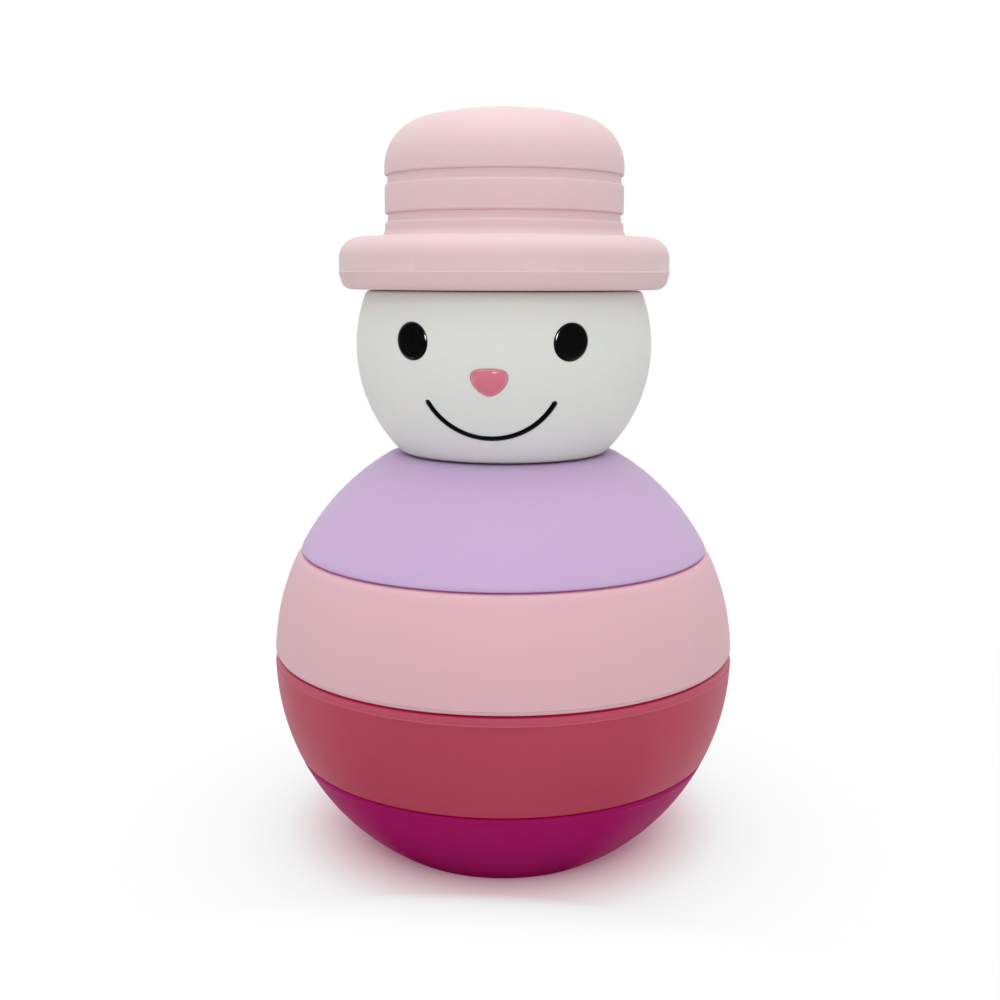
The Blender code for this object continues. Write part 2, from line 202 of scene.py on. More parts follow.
def maths(tree, operation, first, second=0.0):
    """The output of a Math node on one or two sockets or values."""
    node = tree.nodes.new("ShaderNodeMath")
    node.operation = operation
    for socket, value in zip(node.inputs, (first, second)):
        if isinstance(value, bpy.types.NodeSocket):
            tree.links.new(value, socket)
        else:
            socket.default_value = value
    return node.outputs["Value"]


def mixed_colour(tree, share, first, second):
    """The output of a Mix node between two colours or colour sockets."""
    mix = tree.nodes.new("ShaderNodeMix")
    mix.data_type = "RGBA"
    tree.links.new(share, mix.inputs["Factor"])
    for name, value in (("A", first), ("B", second)):
        socket = next(s for s in mix.inputs if s.name == name and s.type == "RGBA")
        if isinstance(value, bpy.types.NodeSocket):
            tree.links.new(value, socket)
        else:
            socket.default_value = value
    return next(s for s in mix.outputs if s.type == "RGBA")


# The skin shows soft clouds of pigment, the mould's fine grain, and rare specks of lint. On the rounded edges
# next to a seam the colour is painted deeper and more saturated. This painted seam shade stands in for the
# light that bounces and soaks in at the seam. The level faces inside a seam keep the plain colour.
CLOUD_SCALE = 55.0
GRAIN_SCALE = 3600.0
LINT_SCALE = 1400.0
GRAIN_HEIGHT = 0.00003
NOISE_MIDDLE = 0.5
GRAIN_SHARE = 0.6
ROUGHNESS_SHARE = 0.25
LINT_START = 0.78
LINT_FULL = 0.84
LINT_COLOUR = linear(235, 225, 226)
NO_PAINTED_SEAM_SHADE = -1.0
PAINTED_SEAM_SHADE_REACH = 0.0003
PAINTED_SEAM_SHADE_DEPTH = 0.8
EDGE_LEVEL = 0.98
FACE_LEVEL = 0.998
on_piece = silicone_skin.nodes.new("ShaderNodeTexCoord")
place_on_piece = on_piece.outputs["Object"]
clouds = add_node(silicone_skin, "ShaderNodeTexNoise", Vector=place_on_piece, Scale=CLOUD_SCALE, Detail=3.0)
grain = add_node(silicone_skin, "ShaderNodeTexNoise", Vector=place_on_piece, Scale=GRAIN_SCALE, Detail=2.0)
lint = add_node(silicone_skin, "ShaderNodeTexNoise", Vector=place_on_piece, Scale=LINT_SCALE, Detail=1.0)
cloud_level = maths(silicone_skin, "SUBTRACT", clouds.outputs["Fac"], NOISE_MIDDLE)
grain_level = maths(silicone_skin, "SUBTRACT", grain.outputs["Fac"], NOISE_MIDDLE)
fine_grain = maths(silicone_skin, "MULTIPLY", grain_level, GRAIN_SHARE)
both = maths(silicone_skin, "ADD", cloud_level, fine_grain)
tone = maths(silicone_skin, "ADD", maths(silicone_skin, "MULTIPLY", both, skin_in.outputs["Mottle"]), 1.0)
# Painted seam shade: the colour gets deeper on rounded edges within a short reach of the underside and deck
# heights, standing in for shade and bounced light in the seam.
height = add_node(silicone_skin, "ShaderNodeSeparateXYZ", Vector=place_on_piece).outputs["Z"]
over_seam = maths(silicone_skin, "SUBTRACT", height, skin_in.outputs["Underside"])
under_seam = maths(silicone_skin, "SUBTRACT", skin_in.outputs["Deck"], height)
fading = {"From_Max": PAINTED_SEAM_SHADE_REACH, "To_Min": 1.0, "To_Max": 0.0}
lip = add_node(silicone_skin, "ShaderNodeMapRange", Value=over_seam, **fading).outputs["Result"]
rim = add_node(silicone_skin, "ShaderNodeMapRange", Value=under_seam, **fading).outputs["Result"]
below_plug = maths(silicone_skin, "GREATER_THAN", under_seam, -PAINTED_SEAM_SHADE_REACH / 3)
at_seam = maths(silicone_skin, "MAXIMUM", lip, maths(silicone_skin, "MULTIPLY", rim, below_plug))
pointing_up = add_node(silicone_skin, "ShaderNodeSeparateXYZ", Vector=on_piece.outputs["Normal"]).outputs["Z"]
level = maths(silicone_skin, "ABSOLUTE", pointing_up)
turning = {"From_Min": EDGE_LEVEL, "From_Max": FACE_LEVEL, "To_Min": 1.0, "To_Max": 0.0}
on_edge = add_node(silicone_skin, "ShaderNodeMapRange", Value=level, **turning).outputs["Result"]
painted_seam_shade_share = maths(silicone_skin, "MULTIPLY", at_seam, on_edge)
deeper = maths(silicone_skin, "ADD", maths(silicone_skin, "MULTIPLY", painted_seam_shade_share, PAINTED_SEAM_SHADE_DEPTH), 1.0)
toned = add_node(
    silicone_skin,
    "ShaderNodeHueSaturation",
    Color=skin_in.outputs["Colour"],
    Saturation=deeper,
    Value=tone,
)
speck = add_node(
    silicone_skin,
    "ShaderNodeMapRange",
    Value=lint.outputs["Fac"],
    From_Min=LINT_START,
    From_Max=LINT_FULL,
)
speck_share = maths(silicone_skin, "MULTIPLY", speck.outputs["Result"], skin_in.outputs["Lint"])
linted = mixed_colour(silicone_skin, speck_share, toned.outputs["Color"], LINT_COLOUR)
silicone_skin.links.new(linted, skin_out.inputs["Colour"])
uneven = maths(silicone_skin, "MULTIPLY", both, ROUGHNESS_SHARE)
rough = maths(silicone_skin, "ADD", skin_in.outputs["Roughness"], uneven)
silicone_skin.links.new(rough, skin_out.inputs["Roughness"])
relief = add_node(
    silicone_skin,
    "ShaderNodeBump",
    Strength=skin_in.outputs["Grain"],
    Distance=GRAIN_HEIGHT,
    Height=grain.outputs["Fac"],
)
silicone_skin.links.new(relief.outputs["Normal"], skin_out.inputs["Normal"])

SILICONE_IOR = 1.41
SOAK_SHARE = 0.5
SOAK_SPREAD = (1.0, 0.5, 0.4)
SOAK_DEPTH = 0.0004


def silicone(name, colour, roughness, shine, mottle, lint, grain, underside=NO_PAINTED_SEAM_SHADE, deck=NO_PAINTED_SEAM_SHADE):
    """Moulded silicone, pigmented through and dull, with painted seam shade on the rounded edges at its
    underside and deck.
    """
    material = bpy.data.materials.new(name)
    material.use_nodes = True
    tree = material.node_tree
    shader = tree.nodes["Principled BSDF"]
    skin = tree.nodes.new("ShaderNodeGroup")
    skin.name = "skin"
    skin.node_tree = silicone_skin
    for socket, value in zip(skin.inputs, (colour, mottle, lint, roughness, grain, underside, deck)):
        socket.default_value = value
    tree.links.new(skin.outputs["Colour"], shader.inputs["Base Color"])
    tree.links.new(skin.outputs["Roughness"], shader.inputs["Roughness"])
    tree.links.new(skin.outputs["Normal"], shader.inputs["Normal"])
    shader.inputs["IOR"].default_value = SILICONE_IOR
    shader.inputs["Specular IOR Level"].default_value = shine
    shader.inputs["Subsurface Weight"].default_value = SOAK_SHARE
    shader.inputs["Subsurface Radius"].default_value = SOAK_SPREAD
    shader.inputs["Subsurface Scale"].default_value = SOAK_DEPTH
    return material


def dress(piece, material, node, body):
    """Gives a piece its material and lets it stand for its CAD node, on that node's body."""
    piece.data.materials.append(material)
    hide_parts(node)
    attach(piece, body)


base_profile = plug(BODY_PLUG_RADIUS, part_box("base_bowl")[1].z, BASE_DECK)
base_line = BASE_DECK - BASE_PARTING_DROP
base_profile += ball_side(
    BALL_RADIUS, BALL_CENTRE, BASE_DECK, BASE_RIM_ROUND, 0.0, FOOT_ROUND, base_line, PARTING_STEP
)
base_profile.append((0.0, 0.0))
base = turned("base_moulding", base_profile, TURN_STEPS)
magenta = silicone(
    "magenta_silicone",
    linear(162, 20, 97),
    roughness=0.45,
    shine=0.05,
    mottle=0.07,
    lint=0.1,
    grain=0.3,
    deck=BASE_DECK,
)
dress(base, magenta, "base_bowl", "base")


# Lower ring: the slice at the ball's widest line, in dark rose silicone, hollow in the middle. Its socket
# goes over the base's plug. The mould parted just under its rim, which leaves a fine pale line. The band
# above that line leans in a little and is painted paler, as painted light for the light that falls on it from
# above.
LOWER_EDGE_ROUND = 0.0005
LOWER_RING_TOP_ROUND = 0.0009
LOWER_RING_PARTING_DROP = 0.0016
LOWER_RING_BAND_LEAN = math.radians(6)
LOWER_RING_STEP = 0.0002
BODY_SOCKET_RADIUS = 0.03202
BODY_SOCKET_DEPTH = 0.0065
BODY_WELL_RADIUS = 0.0247
BODY_DECK_THICKNESS = 0.006
SOCKET_LEAD_IN = 0.0006
WELL_ROUND = 0.002


def socket_mouth(radius, underside):
    """Chamfered mouth of a socket in a flat underside."""
    return [(radius + SOCKET_LEAD_IN, underside), (radius, underside + SOCKET_LEAD_IN)]


def well_roof(radius, roof):
    """Rounded upper end of a hollow, ending on the axis."""
    rounded = arc((radius - WELL_ROUND, roof - WELL_ROUND), WELL_ROUND, 0.0, math.pi / 2, ROUND_STEPS)
    return [*rounded, (radius / 2, roof), (0.0, roof)]


def seat_of(node):
    """Height of the underside of a piece, which rests on the deck below with hardly a gap."""
    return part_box(node)[0].z - CAD_SEAT_GAP + SEAT_GAP


def ring_profile(node, deck, top_round, parting, step, lean=None):
    """A slice of the ball with a plug on top, a socket below and a hollow core under the plug."""
    seat, plug_top = seat_of(node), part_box(node)[1].z
    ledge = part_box(node)[0].z + BODY_SOCKET_DEPTH
    profile = plug(BODY_PLUG_RADIUS, plug_top, deck)
    profile += ball_side(
        BALL_RADIUS, BALL_CENTRE, deck, top_round, seat, LOWER_EDGE_ROUND, parting, step, lean
    )
    profile += socket_mouth(BODY_SOCKET_RADIUS, seat)
    profile += [(BODY_SOCKET_RADIUS, ledge), (BODY_WELL_RADIUS, ledge)]
    return profile + well_roof(BODY_WELL_RADIUS, plug_top - BODY_DECK_THICKNESS)


lower_ring_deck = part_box("upper_ring")[0].z - CAD_SEAT_GAP
lower_ring_line = lower_ring_deck - LOWER_RING_PARTING_DROP
lower_ring_profile = ring_profile(
    "lower_ring",
    lower_ring_deck,
    LOWER_RING_TOP_ROUND,
    lower_ring_line,
    LOWER_RING_STEP,
    LOWER_RING_BAND_LEAN,
)
lower_ring = turned("lower_ring_moulding", lower_ring_profile, TURN_STEPS)
rose_colour, painted_light_band_colour = linear(183, 68, 92), linear(190, 82, 104)
rose = silicone(
    "rose_silicone",
    rose_colour,
    roughness=0.5,
    shine=0.4,
    mottle=0.07,
    lint=0.1,
    grain=0.3,
    underside=seat_of("lower_ring"),
    deck=lower_ring_deck,
)
rose_tree = rose.node_tree
# Painted light: the band above the parting line gets a paler copy of the rose colour, for the light that
# falls on it from above.
rose_place = rose_tree.nodes.new("ShaderNodeTexCoord").outputs["Object"]
rose_height = add_node(rose_tree, "ShaderNodeSeparateXYZ", Vector=rose_place).outputs["Z"]
in_painted_light_band = maths(rose_tree, "GREATER_THAN", rose_height, lower_ring_line)
rose_with_painted_light_band = mixed_colour(rose_tree, in_painted_light_band, rose_colour, painted_light_band_colour)
rose_tree.links.new(rose_with_painted_light_band, rose_tree.nodes["skin"].inputs["Colour"])
dress(lower_ring, rose, "lower_ring", "lower_ring")


# Upper ring: the slice above, in pale pink silicone, made like the lower ring. Its rim is rounded more,
# which shows as a soft light band under the dome. Below the line where its mould parted, just above the
# lower edge, the skin steps in a little.
UPPER_RING_TOP_ROUND = 0.0023
LOW_PARTING_RISE = 0.0007
UPPER_RING_STEP = -0.0003

upper_ring_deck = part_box("upper_dome")[0].z - CAD_SEAT_GAP
upper_ring_line = seat_of("upper_ring") + LOW_PARTING_RISE
upper_ring_profile = ring_profile(
    "upper_ring", upper_ring_deck, UPPER_RING_TOP_ROUND, upper_ring_line, UPPER_RING_STEP
)
upper_ring = turned("upper_ring_moulding", upper_ring_profile, TURN_STEPS)
pale_pink = silicone(
    "pale_pink_silicone",
    linear(221, 180, 189),
    roughness=0.55,
    shine=0.3,
    mottle=0.035,
    lint=0.0,
    grain=0.25,
    underside=seat_of("upper_ring"),
    deck=upper_ring_deck,
)
dress(upper_ring, pale_pink, "upper_ring", "upper_ring")


# Dome: the top slice of the ball, in lavender silicone, hollowed to an even wall. It is turned to a slightly
# smaller ball than the rings, so that the rim below it shows, and carries the smaller plug of the head.
DOME_LIFT = 0.0006
DOME_INSET = 0.0003
DOME_STEP = -0.00006
DOME_EDGE_ROUND = 0.0004
NECK_ROUND = 0.004
NECK_GAP = 0.0002
NECK_PLUG_RADIUS = 0.013
DOME_WALL = 0.008
DOME_ROOF_THICKNESS = 0.006

dome_seat = seat_of("upper_dome")
dome_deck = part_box("head")[0].z - CAD_SEAT_GAP - NECK_GAP
dome_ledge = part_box("upper_dome")[0].z + BODY_SOCKET_DEPTH
dome_roof = dome_deck - DOME_ROOF_THICKNESS
hollow_radius = BALL_RADIUS - DOME_WALL
ledge_angle = math.asin((dome_ledge - BALL_CENTRE) / hollow_radius)
roof_angle = math.asin((dome_roof - BALL_CENTRE) / hollow_radius)
dome_profile = plug(NECK_PLUG_RADIUS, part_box("upper_dome")[1].z, dome_deck)
dome_line = dome_seat + LOW_PARTING_RISE
dome_profile += ball_side(
    BALL_RADIUS - DOME_INSET,
    BALL_CENTRE + DOME_LIFT,
    dome_deck,
    NECK_ROUND,
    dome_seat,
    DOME_EDGE_ROUND,
    dome_line,
    DOME_STEP,
)
dome_profile += socket_mouth(BODY_SOCKET_RADIUS, dome_seat)
dome_profile.append((BODY_SOCKET_RADIUS, dome_ledge))
dome_profile += arc((0.0, BALL_CENTRE), hollow_radius, ledge_angle, roof_angle, ROUND_STEPS)
dome_profile.append((0.0, dome_roof))
dome = turned("dome_moulding", dome_profile, TURN_STEPS)
lavender = silicone(
    "lavender_silicone",
    linear(201, 174, 211),
    roughness=0.55,
    shine=0.3,
    mottle=0.035,
    lint=0.0,
    grain=0.25,
    underside=dome_seat,
)
dress(dome, lavender, "upper_dome", "dome")


# Head: a ball in white silicone, cut flat at the neck and under the hat, with a plug on top and a socket
# below. Recesses in its front take the eyes, the nose and the mouth. It shows no parting line outside.
HEAD_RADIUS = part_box("head")[1].x
HEAD_TOP_ROUND = 0.001
HEAD_FOOT_ROUND = 0.0022
HEAD_FOOT_RADIUS = 0.01996
NECK_SOCKET_RADIUS = 0.0133
HEAD_ROOF_THICKNESS = 0.008
INLAY_WELD = 0.000004

head_seat = seat_of("head")
head_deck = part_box("hat")[0].z - CAD_SEAT_GAP
head_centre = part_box("head")[0].z + math.sqrt(HEAD_RADIUS**2 - HEAD_FOOT_RADIUS**2)
head_profile = plug(NECK_PLUG_RADIUS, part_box("head")[1].z, head_deck)
head_profile += ball_side(HEAD_RADIUS, head_centre, head_deck, HEAD_TOP_ROUND, head_seat, HEAD_FOOT_ROUND)
head_profile += socket_mouth(NECK_SOCKET_RADIUS, head_seat)
head_profile += well_roof(NECK_SOCKET_RADIUS, head_deck - HEAD_ROOF_THICKNESS)
head = turned("head_moulding", head_profile, TURN_STEPS)


def recess(piece, cutter):
    """Cuts the shape of another object out of a piece, welds the slivers and removes that object."""
    cut = piece.modifiers.new("recess", "BOOLEAN")
    cut.object = cutter
    cut.solver = "EXACT"
    bpy.context.view_layer.update()
    before = piece.data
    evaluated = piece.evaluated_get(bpy.context.evaluated_depsgraph_get())
    piece.data = bpy.data.meshes.new_from_object(evaluated)
    piece.modifiers.clear()
    shape = bmesh.new()
    shape.from_mesh(piece.data)
    bmesh.ops.remove_doubles(shape, verts=shape.verts, dist=INLAY_WELD)
    bmesh.ops.dissolve_degenerate(shape, edges=shape.edges, dist=INLAY_WELD)
    shape.to_mesh(piece.data)
    shape.free()
    piece.data.set_sharp_from_angle(angle=SHARP_TURN)
    bpy.data.meshes.remove(before)
    bpy.data.objects.remove(cutter)


white = silicone(
    "white_silicone",
    linear(225, 227, 223),
    roughness=0.5,
    shine=0.4,
    mottle=0.025,
    lint=0.0,
    grain=0.2,
)
dress(head, white, "head", "head")


# Eyes: two oval buttons in glossy black silicone, pressed into their recesses. Their fronts follow the head's
# curve and stand just proud of it, with a rounded edge, and their tops lean outwards.
EYE_WIDTH = 0.0064
EYE_LENGTH = 0.007
EYE_LEAN = math.radians(45)
EYE_AZIMUTH = math.radians(29.7)
EYE_ELEVATION = math.radians(4.15)
EYE_PROUD = 0.0002
EYE_EDGE_ROUND = 0.0005
INLAY_DEPTH = 0.0014
INLAY_FIT = 0.00001
INLAY_STEPS = 72


def outward(azimuth, elevation):
    """Direction from the head's centre; azimuth 0 is the middle of the face."""
    flat = math.cos(elevation)
    return Vector((math.sin(azimuth) * flat, -math.cos(azimuth) * flat, math.sin(elevation)))


def gloss(name, colour, roughness, shine):
    """Glossy silicone of the inlays, with the same skin but hardly any grain."""
    return silicone(name, colour, roughness, shine, mottle=0.04, lint=0.0, grain=0.04)


def eye_profile(radius, back, front):
    """A button whose front follows the head's curve, as heights above the head's centre."""
    round_radius = radius - EYE_EDGE_ROUND
    round_z = math.sqrt((front - EYE_EDGE_ROUND) ** 2 - round_radius**2)
    round_angle = math.atan2(round_z, round_radius)
    profile = arc((0.0, 0.0), front, math.pi / 2, round_angle, ROUND_STEPS)
    profile[0] = (0.0, front)
    profile += arc((round_radius, round_z), EYE_EDGE_ROUND, round_angle, 0.0, ROUND_STEPS)[1:]
    return [*profile, (radius, back), (0.0, back)]


black = gloss("black_inlay", linear(13, 13, 14), roughness=0.12, shine=0.35)
eyes = bpy.data.collections.new("eyes")
for eye_name, side in (("left_eye", -1), ("right_eye", 1)):
    facing = outward(side * EYE_AZIMUTH, EYE_ELEVATION).to_track_quat("Z", "Y")
    turn = (facing @ Quaternion((0, 0, 1), -side * EYE_LEAN)).to_matrix().to_4x4()
    oval = Matrix.Diagonal((1.0, EYE_LENGTH / EYE_WIDTH, 1.0, 1.0))
    place = Matrix.Translation((0.0, 0.0, head_centre)) @ turn @ oval
    back = HEAD_RADIUS - INLAY_DEPTH
    eye = turned(eye_name + "_inlay", eye_profile(EYE_WIDTH / 2, back, HEAD_RADIUS + EYE_PROUD), INLAY_STEPS)
    eye.data.transform(place)
    dress(eye, black, eye_name, "head")
    eyes.objects.link(eye)
    cutter_profile = eye_profile(EYE_WIDTH / 2 + INLAY_FIT, back - INLAY_FIT, HEAD_RADIUS + INLAY_DEPTH)
    cutter = turned(eye_name + "_cutter", cutter_profile, INLAY_STEPS)
    cutter.data.transform(place)
    recess(head, cutter)


# Nose: a soft triangle in very glossy pink silicone, point down, pressed into its recess. Its front is a low
# pillow with a well rounded edge, which takes the light along its top.
NOSE_WIDTH = 0.0066
NOSE_RISE = 0.0016
NOSE_DROP = 0.00335
NOSE_ELEVATION = math.radians(-8.1)
NOSE_PROUD = 0.0007
NOSE_EDGE_DROP = 0.0002
NOSE_FULLNESS = 3.5
NOSE_LAYERS = 14
NOSE_MIDDLE = -0.0006
NOSE_SIDE_STEPS = 20
NOSE_TOP_PULL = 0.7
NOSE_TIP_PULL = 0.4
NOSE_CHEEK_RISE = 0.75
NOSE_CHEEK_DROP = 0.45


def bezier(start, lean_out, lean_in, end, steps):
    """Points along one cubic curve, without its end."""
    points = []
    for step in range(steps):
        t = step / steps
        shares = ((1 - t) ** 3, 3 * t * (1 - t) ** 2, 3 * t**2 * (1 - t), t**3)
        mix = [sum(s * p[axis] for s, p in zip(shares, (start, lean_out, lean_in, end))) for axis in (0, 1)]
        points.append(tuple(mix))
    return points


def nose_outline():
    """Outline of the nose as seen from the front, from its top round by the left cheek."""
    half = NOSE_WIDTH / 2
    rise, drop = NOSE_RISE, NOSE_DROP
    up, down = NOSE_CHEEK_RISE * rise, NOSE_CHEEK_DROP * drop
    top, tip = NOSE_TOP_PULL * half, NOSE_TIP_PULL * half
    outline = bezier((0, rise), (-top, rise), (-half, up), (-half, 0), NOSE_SIDE_STEPS)
    outline += bezier((-half, 0), (-half, -down), (-tip, -drop), (0, -drop), NOSE_SIDE_STEPS)
    outline += bezier((0, -drop), (tip, -drop), (half, -down), (half, 0), NOSE_SIDE_STEPS)
    outline += bezier((half, 0), (half, up), (top, rise), (0, rise), NOSE_SIDE_STEPS)
    return outline


def pillow(name, outline, middle, layers):
    """A closed mesh in layers: each is the outline drawn in by a share, at a height above the head."""
    shape = bmesh.new()
    rings = []
    for share, height in layers:
        ring = []
        for x, y in outline:
            across, up = x * share, middle + (y - middle) * share
            sag = HEAD_RADIUS - math.sqrt(HEAD_RADIUS**2 - across**2 - up**2)
            ring.append(shape.verts.new((across, up, height - sag)))
        rings.append(ring)
    count = len(outline)
    for lower, upper in zip(rings, rings[1:]):
        for here in range(count):
            after = (here + 1) % count
            shape.faces.new((lower[here], lower[after], upper[after], upper[here]))
    shape.faces.new(rings[0])
    shape.faces.new(rings[-1])
    return finished(name, shape)


nose_layers = [(1.0, -INLAY_DEPTH), (1.0, -NOSE_EDGE_DROP)]
for step in range(1, NOSE_LAYERS):
    share = 1.0 - (step / NOSE_LAYERS) ** 2
    pillow_height = (NOSE_PROUD + NOSE_EDGE_DROP) * math.sqrt(1 - share**NOSE_FULLNESS)
    nose_layers.append((share, pillow_height - NOSE_EDGE_DROP))
nose = pillow("nose_inlay", nose_outline(), NOSE_MIDDLE, nose_layers)
nose_out = outward(0.0, NOSE_ELEVATION)
nose_turn = nose_out.to_track_quat("Z", "Y").to_matrix().to_4x4()
nose_place = Matrix.Translation(Vector((0.0, 0.0, head_centre)) + nose_out * HEAD_RADIUS) @ nose_turn
nose.data.transform(nose_place)
pink_inlay = gloss("pink_inlay", linear(218, 128, 145), roughness=0.08, shine=0.6)
pink_shader = pink_inlay.node_tree.nodes["Principled BSDF"]
pink_shader.inputs["Coat Weight"].default_value = 0.8
pink_shader.inputs["Coat Roughness"].default_value = 0.03
dress(nose, pink_inlay, "nose", "head")
fit_share = 1.0 + INLAY_FIT / NOSE_RISE
nose_cutter_layers = [(fit_share, -INLAY_DEPTH - INLAY_FIT), (fit_share, INLAY_DEPTH)]
nose_cutter = pillow("nose_cutter", nose_outline(), NOSE_MIDDLE, nose_cutter_layers)
nose_cutter.data.transform(nose_place)
recess(head, nose_cutter)


# Mouth: a thin round bead in the same glossy black silicone, laid in a groove that smiles across the face. It
# stands a little proud of the head and ends in round tips.
SMILE_ARC_RADIUS = 0.01275
SMILE_ARC_DROP = 0.0021
SMILE_HALF_ANGLE = math.radians(59.5)
SMILE_WIDTH = 0.0012
SMILE_PROUD = 0.0003
SMILE_STEPS = 100
BEAD_SIDES = 20
TANGENT_TURN = 0.001


def smile_bead(name, radius):
    """A bead along an arc that is drawn on the front of the face and laid on the head's curve."""
    depth = HEAD_RADIUS + SMILE_PROUD - SMILE_WIDTH / 2
    tip_turn = radius / SMILE_ARC_RADIUS
    tips = [math.pi / 2 * step / ROUND_STEPS for step in range(1, ROUND_STEPS)]
    stops = [(SMILE_HALF_ANGLE * (2 * step / SMILE_STEPS - 1), 1.0) for step in range(SMILE_STEPS + 1)]
    right_tip = [(SMILE_HALF_ANGLE + tip_turn * math.sin(a), math.cos(a)) for a in tips]
    left_tip = [(-angle, width) for angle, width in reversed(right_tip)]

    def on_face(angle):
        across = SMILE_ARC_RADIUS * math.sin(angle)
        up = -SMILE_ARC_DROP - SMILE_ARC_RADIUS * math.cos(angle)
        return Vector((across, -math.sqrt(depth**2 - across**2 - up**2), up))

    shape = bmesh.new()
    rings = []
    for angle, width in left_tip + stops + right_tip:
        point = on_face(angle)
        along = (on_face(angle + TANGENT_TURN) - on_face(angle - TANGENT_TURN)).normalized()
        out = (point - along * point.dot(along)).normalized()
        beside = along.cross(out)
        ring = []
        for side in range(BEAD_SIDES):
            a = 2 * math.pi * side / BEAD_SIDES
            offset = (out * math.cos(a) + beside * math.sin(a)) * radius * width
            ring.append(shape.verts.new(point + offset))
        rings.append(ring)
    for first, second in zip(rings, rings[1:]):
        for here in range(BEAD_SIDES):
            after = (here + 1) % BEAD_SIDES
            shape.faces.new((first[here], first[after], second[after], second[here]))
    shape.faces.new(rings[0])
    shape.faces.new(rings[-1])
    bead = finished(name, shape)
    bead.data.transform(Matrix.Translation((0.0, 0.0, head_centre)))
    return bead


smile = smile_bead("smile_inlay", SMILE_WIDTH / 2)
dress(smile, black, "smile", "head")
recess(head, smile_bead("smile_cutter", SMILE_WIDTH / 2 + INLAY_FIT))


# Hat: a bowler in light pink silicone, one hollow moulding that goes over the head's plug. Two grooves cut
# its crown into a foot, a plain band and a round top, and the mould parted low on the side of the thick brim.
BRIM_SPREAD = 0.0003
BRIM_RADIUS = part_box("hat")[1].x + BRIM_SPREAD
BRIM_THICKNESS = 0.00945
BRIM_TOP_ROUND = 0.0039
BRIM_LOWER_ROUND = 0.0021
BRIM_LOWER_LEAN = math.radians(15)
BRIM_PARTING_RISE = 0.00315
BRIM_STEP = 0.0001
CROWN_RADIUS = 0.0225
CROWN_FOOT_HEIGHT = 0.00245
CROWN_FOOT_FILLET = 0.0016
LOWER_GROOVE_HEIGHT = 0.00185
HAT_BAND_HEIGHT = 0.005
UPPER_GROOVE_HEIGHT = 0.002
GROOVE_DEPTH = 0.0006
GROOVE_LIP_ROUND = 0.0007
GROOVE_LIP_DROP = GROOVE_LIP_ROUND / 4
GROOVE_LIP_TURN = math.radians(70)
GROOVE_EDGE_ROUND = 0.0004
CROWN_WALL = 0.0015
CROWN_SHOULDER = 0.0092
CROWN_DOME_RADIUS = 0.0675
HAT_ROOF_THICKNESS = 0.009
HAT_SINK = 0.0001


def groove(bottom, height):
    """A groove in the crown's wall: a rounded edge above, a floor sloping out, and a rounded lip below."""
    floor = CROWN_RADIUS - GROOVE_DEPTH
    top = bottom + height
    edge = arc(
        (CROWN_RADIUS - GROOVE_EDGE_ROUND, top + GROOVE_EDGE_ROUND),
        GROOVE_EDGE_ROUND,
        0.0,
        -math.pi / 2,
        ROUND_STEPS,
    )
    lip_centre = (CROWN_RADIUS - GROOVE_LIP_ROUND, bottom - GROOVE_LIP_DROP)
    lip = arc(lip_centre, GROOVE_LIP_ROUND, GROOVE_LIP_TURN, 0.0, ROUND_STEPS)
    return [*edge, (floor, top), *lip]


hat_seat, hat_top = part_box("hat")[0].z - HAT_SINK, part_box("hat")[1].z
brim_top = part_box("hat")[0].z + BRIM_THICKNESS
lower_groove = brim_top + CROWN_FOOT_HEIGHT
upper_groove = lower_groove + LOWER_GROOVE_HEIGHT + HAT_BAND_HEIGHT
shoulder_z = upper_groove + UPPER_GROOVE_HEIGHT + CROWN_WALL
shoulder_r = CROWN_RADIUS - CROWN_SHOULDER
dome_drop = math.sqrt((CROWN_DOME_RADIUS - CROWN_SHOULDER) ** 2 - shoulder_r**2)
shoulder_angle = math.atan2(dome_drop, shoulder_r)
crown_dome_z = shoulder_z - dome_drop
hat_profile = arc((0.0, crown_dome_z), CROWN_DOME_RADIUS, math.pi / 2, shoulder_angle, 2 * ROUND_STEPS)
hat_profile[0] = (0.0, hat_profile[0][1])
hat_profile += arc((shoulder_r, shoulder_z), CROWN_SHOULDER, shoulder_angle, 0.0, 3 * ROUND_STEPS)[1:]
hat_profile += groove(upper_groove, UPPER_GROOVE_HEIGHT)
hat_profile += groove(lower_groove, LOWER_GROOVE_HEIGHT)
fillet = (CROWN_RADIUS + CROWN_FOOT_FILLET, brim_top + CROWN_FOOT_FILLET)
hat_profile += arc(fillet, CROWN_FOOT_FILLET, math.pi, 1.5 * math.pi, ROUND_STEPS)
upper_rim = (BRIM_RADIUS - FLASH_HEIGHT - BRIM_STEP - BRIM_TOP_ROUND, brim_top - BRIM_TOP_ROUND)
hat_profile += arc(upper_rim, BRIM_TOP_ROUND, math.pi / 2, 0.0, 2 * ROUND_STEPS)
brim_line = hat_seat + BRIM_PARTING_RISE
hat_profile.append((BRIM_RADIUS - FLASH_HEIGHT - BRIM_STEP, brim_line + LEDGE_HEIGHT))
hat_profile.append((BRIM_RADIUS - FLASH_HEIGHT, brim_line, FLASH_HEIGHT))
hat_profile.append((BRIM_RADIUS - FLASH_HEIGHT, brim_line - LEDGE_HEIGHT / 2))
lower_rim_z = hat_seat + BRIM_LOWER_ROUND
lean_start = brim_line - LEDGE_HEIGHT / 2
lean_drop = lean_start - lower_rim_z + BRIM_LOWER_ROUND * math.sin(BRIM_LOWER_LEAN)
lean_end = BRIM_RADIUS - FLASH_HEIGHT - lean_drop * math.tan(BRIM_LOWER_LEAN)
lower_rim = (lean_end - BRIM_LOWER_ROUND * math.cos(BRIM_LOWER_LEAN), lower_rim_z)
